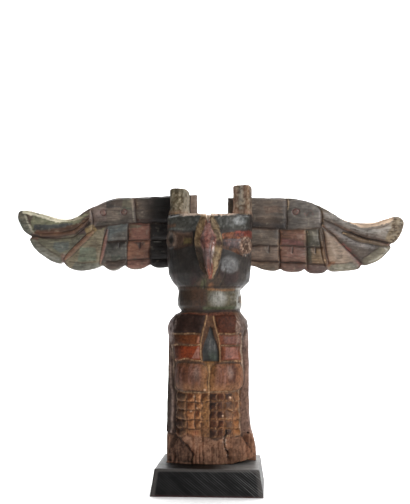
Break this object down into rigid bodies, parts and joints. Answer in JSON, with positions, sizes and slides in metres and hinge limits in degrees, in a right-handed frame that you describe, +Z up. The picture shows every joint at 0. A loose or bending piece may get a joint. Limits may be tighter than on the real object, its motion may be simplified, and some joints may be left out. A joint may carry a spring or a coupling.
{
  "type": "totem pole",
  "caption": "Carved and painted wooden totem: an eagle figure with a hooked beak and two spread plank wings, standing on a low sloped wooden plinth.",
  "frame": {"origin": "centre of the plinth's underside", "axes": "+X along the wings to the viewer's right, +Y from the figure's front to its flat back, +Z up"},
  "size_m": [0.6713, 0.163, 0.5029],
  "materials": {
    "carved_pole": "old oil paint and varnish over carved wood, worn on its edges",
    "left_wing": "old blue-grey, red and black paint over carved wood, worn on its edges",
    "right_wing": "old brown-grey and red paint over carved wood, worn on its edges",
    "plinth": "black-stained open-grained wood, satin"
  },
  "bodies": {
    "root": {"carved_pole": "carved_pole", "left_wing": "left_wing", "right_wing": "right_wing", "plinth": "plinth"}
  },
  "joints": []
}
